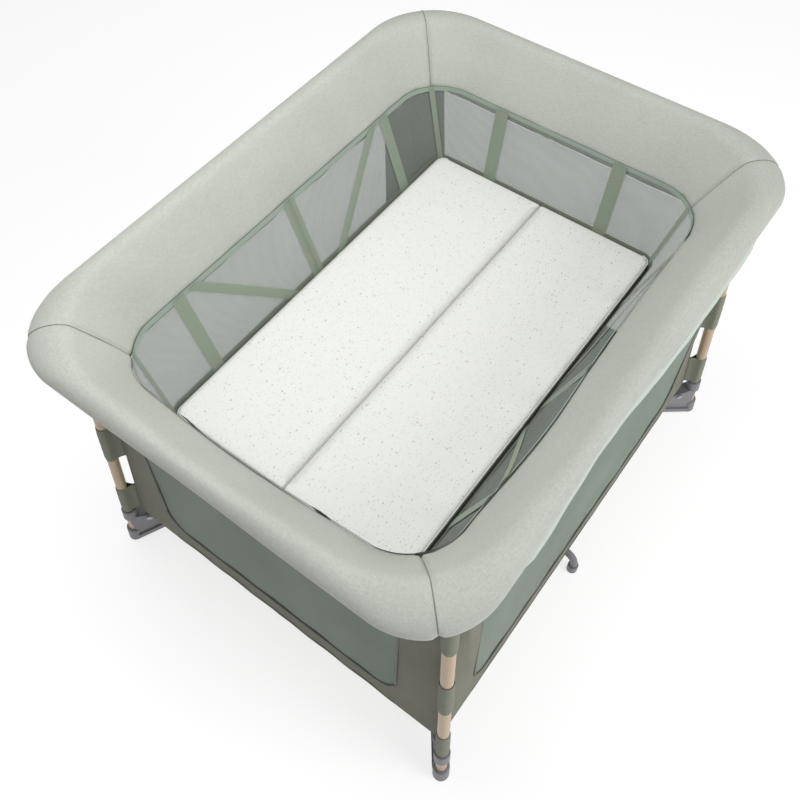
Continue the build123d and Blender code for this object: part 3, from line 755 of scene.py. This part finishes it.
def make_bassinet_wall(corner, side):
    """Half a wall of the bassinet: its net with straps, rim tape, floor binding and ledge."""
    sign, facing = CORNERS[corner]
    slack = FRONT_SLACK if facing < 0 else BACK_SLACK
    base = (BASE_X, BASE_Y)
    rim = (RIM_X, RIM_Y)
    if side == "short":
        sign, facing = facing, sign
        base = base[::-1]
        rim = rim[::-1]
    pinch = PINCHES.get((side, facing), NO_PINCH)

    def rim_out(x):
        return pinch[2] * drawn_share(sign * x, pinch)

    def set_in(rows):
        return mirrored(TURNED[side](rows), corner)

    def gathered(obj):
        GATHERED[side](obj, corner, base[0])
        return obj

    wall_rows = set_in(bassinet_rows(base, rim, 0.0, 1.0, 0.0, slack, rim_out))
    wall = gathered(grid_object(f"bassinet_{side}_net_{corner}", wall_rows, NET))
    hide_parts(f"bassinet_{corner}")

    lines = [set_in(strap_rows(base[1], rim[1], *strap, rim_out)) for strap in STRAPS[side]]
    straps = gathered(joined(f"bassinet_{side}_straps_{corner}", lines, STRAP))

    band = set_in(bassinet_rows(base, rim, RIM_TAPE_LOW, 1.0, RIM_TAPE_IN, 0.0, rim_out, 4))
    rim_tape = gathered(grid_object(f"bassinet_{side}_rim_{corner}", band, RIM))

    # the binding band is partly the real binding and partly painted shade where the mattress meets the net
    foot = set_in(bassinet_rows(base, rim, 0.0, BINDING_AND_SHADE_HIGH, BINDING_IN, 0.0, rim_out, 5))
    binding = gathered(grid_object(f"bassinet_{side}_binding_{corner}", foot, BINDING_AND_SHADE))

    plan = bassinet_plan(*base, BASE_CORNER)
    outer_edge = [(x, y, LEDGE_Z) for x, y in plan]
    inner_edge = [(min(x, base[0] - LEDGE_WIDTH), base[1] - LEDGE_WIDTH, LEDGE_Z) for x, y in plan]
    ledge = set_in([outer_edge, inner_edge])
    shelf = gathered(grid_object(f"bassinet_{side}_ledge_{corner}", ledge, OUTER))


def make_slings(corner):
    """Straps across under the mattress."""
    slings = []
    length = BASE_Y - LEDGE_WIDTH / 2
    for x in SLINGS:
        left = x - SLING_WIDTH / 2
        right = x + SLING_WIDTH / 2
        rows = [[(left, y, SLING_Z), (right, y, SLING_Z)] for y in span(0, length, 12)]
        slings.append(mirrored(rows, corner))
    straps = joined(f"bassinet_slings_{corner}", slings, BINDING_AND_SHADE)
    gather_short(straps, corner, BASE_Y)


def make_corner_strap(corner):
    """The strap up a corner of the bassinet, from the floor's tight corner to the rim's wide one."""
    rows = []
    for share in span(0.0, STRAP_TOP, 16):
        row = []
        for angle in CORNER_STRAP:
            turn = radians(angle)
            low = (
                BASE_X - BASE_CORNER + (BASE_CORNER - STRAP_LIFT) * cos(turn),
                BASE_Y - BASE_CORNER + (BASE_CORNER - STRAP_LIFT) * sin(turn),
                BASE_Z,
            )
            wide = radians(45 + (angle - 45) * RIM_TURN)
            high = (
                RIM_X - RIM_CORNER + (RIM_CORNER - STRAP_LIFT) * cos(wide),
                RIM_Y - RIM_CORNER + (RIM_CORNER - STRAP_LIFT) * sin(wide),
                RIM_Z,
            )
            row.append(towards(low, high, share))
        rows.append(row)
    strap = grid_object(f"bassinet_corner_strap_{corner}", mirrored(rows, corner), STRAP)
    ride_leg(strap, corner)


for corner in CORNERS:
    make_bassinet_wall(corner, "long")
    make_bassinet_wall(corner, "short")
    make_slings(corner)
    make_corner_strap(corner)


# Mattress
def rounded_ring(low, high, radii, z):
    """A ring of a rectangle from low to high, with a radius for its low and its high corners."""
    points = []
    corners = (
        (high[0], high[1], radii[1], 0),
        (low[0], high[1], radii[1], 90),
        (low[0], low[1], radii[0], 180),
        (high[0], low[1], radii[0], 270),
    )
    for x, y, radius, start in corners:
        middle_x = x - radius if x > 0 else x + radius
        middle_y = y - radius if start < 180 else y + radius
        for angle in span(start, start + 90, CORNER_POINTS):
            turn = radians(angle)
            points.append((middle_x + radius * cos(turn), middle_y + radius * sin(turn), z))
    return points


def make_mattress(name, side):
    """A padded panel from steps of its edge as (inset, height), with a welt along its outer edge."""
    base = MATTRESS_Z
    top = base + MATTRESS_T
    steps = (
        (ROLL_INSET, base),
        (0.004, base + 0.0008),
        (0.001, base + 0.004),
        (0.0, base + 0.010),
        (0.0002, base + 0.016),
        (0.0005, top - 0.008),
        (0.0022, top - 0.0036),
        (0.0050, top - 0.0014),
        (ROLL_INSET, top - 0.0004),
        (0.0300, top - 0.0001),
        (0.0700, top + 0.0002),
        (0.1150, top + 0.0004),
    )
    rings = []
    for inset, z in steps:
        seam = min(inset, FOLD_ROLL + 0.96 * max(0.0, inset - ROLL_INSET))
        low = (-MATTRESS_X + inset, FOLD_GAP + seam)
        high = (MATTRESS_X - inset, MATTRESS_Y - inset)
        radii = (FOLD_CORNER, max(0.004, END_CORNER - 0.12 * inset))
        ring = rounded_ring(low, high, radii, z)
        rings.append([(x, side * y, z) for x, y, z in ring])
    panel = face_out(capped_object(f"{name}_quilt", rings, QUILT))
    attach(panel, name)
    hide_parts(name)

    low = (-MATTRESS_X, FOLD_GAP)
    high = (MATTRESS_X, MATTRESS_Y)
    outline = rounded_ring(low, high, (FOLD_CORNER, END_CORNER), top - WELT_DROP)
    path = [(x, side * y, z) for x, y, z in outline[: 2 * CORNER_POINTS]]
    welt = edge_tube(f"{name}_welt", path, WELT_R, QUILT)
    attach(welt, name)


make_mattress("mattress_back", 1)
make_mattress("mattress_front", -1)


# Outer walls
def wall_place(hem, top, x, share, depth=0.0):
    """A point of a long wall at a share of its height, pushed in by a depth."""
    return (x, hem[0] + (top[0] - hem[0]) * share - depth, hem[1] + (top[1] - hem[1]) * share)


def wall_height(hem, top):
    """Height of a wall along its slope."""
    return sqrt((top[0] - hem[0]) ** 2 + (top[1] - hem[1]) ** 2)


def window_low(x, half, height):
    """Share of the wall's height where the window starts."""
    over = max(0.0, x - (half - WINDOW_CORNER))
    lift = WINDOW_CORNER - sqrt(max(0.0, WINDOW_CORNER**2 - over**2))
    return (WINDOW_LOW + lift) / height


def slack_depth(x, share):
    """Soft unevenness of the hung cloth."""
    slow = SLOW_SWAY[0] * sin(SLOW_SWAY[1] * x + SLOW_SWAY[2] * share) * sin(pi * share)
    return slow + QUICK_SWAY[0] * sin(QUICK_SWAY[1] * x + QUICK_SWAY[2] * share)


def end_rows(side, hem, top, window, low, high, count, to_seam):
    """Rows of a wall from its window's edge to its bend, and on to the seam inside the leg."""
    rows = []
    for z in span(low, high, count):
        share = (z - HEM_Z) / (top[1] - HEM_Z)
        bend = window + BEND_PAST
        seam = seam_at(z)[::-1]
        if side == "long":
            bend += (LONG_BEND - LONG_WINDOW) * share
            seam = seam_at(z)
        row = [wall_place(hem, top, x, share, slack_depth(x, share)) for x in span(window, bend, 5)]
        at_bend = row[-1]
        if to_seam:
            row += [towards(at_bend, (*seam, z), t) for t in span(0, 1, 10)[1:]]
        rows.append(row)
    return rows


def wall_bead(name, corner, side, path, radius):
    """A bead along a path on a wall."""
    placed = mirrored(TURNED[side]([path]), corner)[0]
    return edge_tube(f"{side}_{name}_{corner}", placed, radius, PIPING)


def make_window(corner, side, hem, top, window, tuck):
    """Half a wall's window: its net, the bands below and above it, its piping and the hem's stitching."""
    height = wall_height(hem, top)
    columns = span(0, window - WINDOW_CORNER, 24) + span(window - WINDOW_CORNER, window, 13)[1:]
    high = 1 - WINDOW_TOP / height

    def window_edge(x):
        return window_low(x, window, height)

    def strip(low_share, high_share, count, depth):
        rows = []
        for t in span(0, 1, count):
            row = []
            for x in columns:
                share = low_share(x) + (high_share(x) - low_share(x)) * t
                row.append(wall_place(hem, top, x, share, depth + slack_depth(x, share)))
            rows.append(row)
        return mirrored(TURNED[side](rows), corner)

    net_rows = strip(window_edge, lambda x: high, 26, WINDOW_DEPTH)
    net_panel = grid_object(f"{side}_window_{corner}", net_rows, WINDOW)
    low_band = strip(lambda x: 0.0, window_edge, 6, 0.0)
    top_band = strip(lambda x: high, lambda x: 1 + tuck / height, 4, 0.0)
    bands = joined(f"{side}_bands_{corner}", [low_band, top_band], OUTER)
    for piece in (net_panel, bands):
        GATHERED[side](piece, corner, window)
        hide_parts(f"outer_wall_{corner}")

    sill = [wall_place(hem, top, x, window_edge(x), -PIPING_OUT) for x in columns]
    stitches = [wall_place(hem, top, x, STITCH_UP / height, -STITCH_OUT) for x in columns]
    trims = [
        wall_bead("window_piping", corner, side, sill, PIPING_R),
        wall_bead("hem_seam", corner, side, stitches, STITCH_R),
    ]
    for trim in trims:
        GATHERED[side](trim, corner, window)
    return net_panel, bands, trims


def make_panel(corner, side, hem, top, window, tuck):
    """The corner panel of half a wall, with piping up the edge of its window."""
    sill = window_low(window, window, wall_height(hem, top))
    upright = [wall_place(hem, top, window, share, -PIPING_OUT) for share in span(sill, 1, 12)]
    piping = wall_bead("panel_piping", corner, side, upright, PIPING_R)
    ride_leg(piping, corner)

    seam_top = SHORT_TOP[1] + SHORT_TUCK
    ends = [end_rows(side, hem, top, window, HEM_Z, seam_top, 40, True)]
    if side == "long":
        ends.append(end_rows(side, hem, top, window, seam_top, top[1] + tuck, 5, False))
    placed = [mirrored(TURNED[side](rows), corner) for rows in ends]
    panel = joined(f"{side}_corner_panel_{corner}", placed, OUTER)
    ride_leg(panel, corner)
    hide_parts(f"outer_wall_{corner}")
    return panel, piping


def make_outer(corner):
    """The outer walls of a quarter and the seam where they meet."""
    path = [(*seam_at(z), z) for z in span(HEM_Z, SHORT_TOP[1], 14)]
    seam = edge_tube(f"wall_seam_{corner}", mirrored([path], corner)[0], WALL_SEAM_R, OUTER)
    ride_leg(seam, corner)
    for side, (hem, top, window, tuck) in WALLS.items():
        net_panel, bands, trims = make_window(corner, side, hem, top, window, tuck)
        panel, piping = make_panel(corner, side, hem, top, window, tuck)


for corner in CORNERS:
    make_outer(corner)


# Pen floor
def make_floor(corner):
    """A quarter of the floor that folds up along its strut, and the tab past it that stays with the leg."""
    side_x, side_y = CORNERS[corner]
    far_x = SHORT_HEM[0] - FLOOR_CLEAR
    far_y = LONG_HEM[0] - FLOOR_CLEAR
    ahead = Vector((STRUT_DIR.x * side_x, STRUT_DIR.y * side_y, 0))
    rows = []
    for y in span(0, far_y, 15):
        rows.append([(x, y, FLOOR_Z) for x in span(0, far_x, 19)])
    whole = grid_object("floor", mirrored(rows, corner), OUTER)
    cut = bmesh.new()
    cut.from_mesh(whole.data)
    pin = Vector((FOOT_PIN[0] * side_x, FOOT_PIN[1] * side_y, 0))
    cut_through(cut, pin, ahead)
    pieces = []
    for name, side in ((f"floor_{corner}", -1), (f"floor_corner_{corner}", 1)):
        part = one_side(cut, pin, ahead, side)
        mesh = bpy.data.meshes.new(name)
        part.to_mesh(mesh)
        part.free()
        mesh.materials.append(OUTER)
        pieces.append(linked(name, mesh))
    cut.free()
    bpy.data.objects.remove(whole)
    main, tab = pieces
    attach(main, f"strut_{corner}")
    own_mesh(main)
    ride_leg(tab, corner)


for corner in CORNERS:
    make_floor(corner)


# Leg sleeves
def sleeve_section(radius):
    """A sleeve's plan about the leg as (along, across): round the tube, then drawn into a tail."""
    tail = SEAM_INSET * sqrt(2) - WALL_SEAM_R
    half = []
    for angle in span(180, 75, 10):
        half.append((radius * cos(radians(angle)), radius * sin(radians(angle))))
    root, width = half[-1]
    for t in span(0, 1, 7)[1:]:
        half.append((root + (tail - root) * t, TAIL_HALF + (width - TAIL_HALF) * (1 - t) ** 2))
    return half + [(along, -across) for along, across in reversed(half[1:])]


def make_sleeves(corner):
    """The cloth sleeves of a leg, as one piece."""
    points = []
    faces = []
    for low, high in SLEEVES:
        rings = []
        for i, z in enumerate(span(low, high, SLEEVE_ROWS)):
            x, y = leg_at(z)
            edge = min(i, SLEEVE_ROWS - 1 - i)
            puff = SLEEVE_R - SLEEVE_DRAWN * exp(-edge) + SLEEVE_WRINKLE * sin(i * 1.9 + low * 50)
            ring = []
            for along, across in sleeve_section(puff):
                ring.append((x - (along + across) / sqrt(2), y - (along - across) / sqrt(2), z))
            rings.append(ring)
        faces += grid_faces(SLEEVE_ROWS, len(rings[0]), True, len(points))
        points += [point for ring in mirrored(rings, corner) for point in ring]
    sleeves = face_out(mesh_object(f"sleeves_{corner}", points, faces, SLEEVE))
    ride_leg(sleeves, corner)
    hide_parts(f"leg_sleeves_{corner}")


for corner in CORNERS:
    make_sleeves(corner)


# Frame pieces keep their modelled shapes
FINISHES = {
    "leg_tube": TUBE,
    "strut": TUBE,
    "long_rail": TUBE,
    "short_rail": TUBE,
    "side_arm": GREY,
    "side_foot": GREY,
    "foot_bracket": GREY,
    "corner_block": GREY,
    "hub_body": GREY,
    "hub_cover": GREY,
    "release_button": PALE_GREY,
    "rivets": STEEL,
    "hub_pins": STEEL,
}
for name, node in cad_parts.items():
    for start, material in FINISHES.items():
        if name.startswith(start):
            node.data.materials.clear()
            node.data.materials.append(material)
            node.data.shade_smooth()
            node.data.set_sharp_from_angle(angle=radians(35))


# Camera, lights and floor
def place_camera():
    """A camera above the front left corner, turned by its right, up and back directions."""
    camera = bpy.data.objects.new("camera", bpy.data.cameras.new("camera"))
    right = Vector((0.59885, -0.80077, -0.01210))
    up = Vector((0.67839, 0.49919, 0.53908))
    back = Vector((-0.42563, -0.33104, 0.84217))
    turn = Matrix((right, up, back)).transposed().to_4x4()
    eye = Vector((-0.78168, -0.54490, 1.77919))
    camera.matrix_world = Matrix.Translation(eye) @ turn
    camera.data.sensor_width = 36.0
    camera.data.lens = 38.57
    bpy.context.scene.collection.objects.link(camera)
    bpy.context.scene.camera = camera


def area_light(name, place, aim, size, power):
    """A square soft light aimed at a point."""
    light = bpy.data.objects.new(name, bpy.data.lights.new(name, "AREA"))
    light.data.size = size
    light.data.energy = power
    light.location = place
    light.rotation_euler = (Vector(aim) - Vector(place)).to_track_quat("-Z", "Y").to_euler()
    bpy.context.scene.collection.objects.link(light)


STAGE_HALF = 6.0
STAGE_Z = -0.0005
# painted glow of the stage floor, which also lights the pen a little from below
STAGE_GLOW = 0.72
SKY_LIGHT = 0.39


def stage_paint():
    """Pale floor with a painted glow, which also lights the pen a little from below."""
    n = Nodes("stage_paint")
    n.shader.inputs["Emission Color"].default_value = (1, 1, 1, 1)
    n.shader.inputs["Emission Strength"].default_value = STAGE_GLOW
    return n.finish(srgb(170, 170, 170), 0.95)


def make_stage():
    """A wide pale floor, an even sky and three soft lights."""
    corners = ((-1, -1), (1, -1), (1, 1), (-1, 1))
    points = [(x * STAGE_HALF, y * STAGE_HALF, STAGE_Z) for x, y in corners]
    floor = mesh_object("stage_floor", points, [(0, 1, 2, 3)], stage_paint())
    world = bpy.data.worlds.new("studio")
    world.use_nodes = True
    world.node_tree.nodes["Background"].inputs["Color"].default_value = (1, 1, 1, 1)
    world.node_tree.nodes["Background"].inputs["Strength"].default_value = SKY_LIGHT
    bpy.context.scene.world = world
    area_light("over", (-0.2, 0.3, 2.1), (-0.1, 0.1, 0.5), 1.0, 18)
    area_light("front", (0.35, -2.8, 2.2), (0, 0, 0.5), 1.6, 30)
    area_light("low", (0.3, -2.8, 0.7), (0, 0, 0.4), 1.6, 22)
    bpy.context.scene.view_settings.view_transform = "Standard"


place_camera()
make_stage()
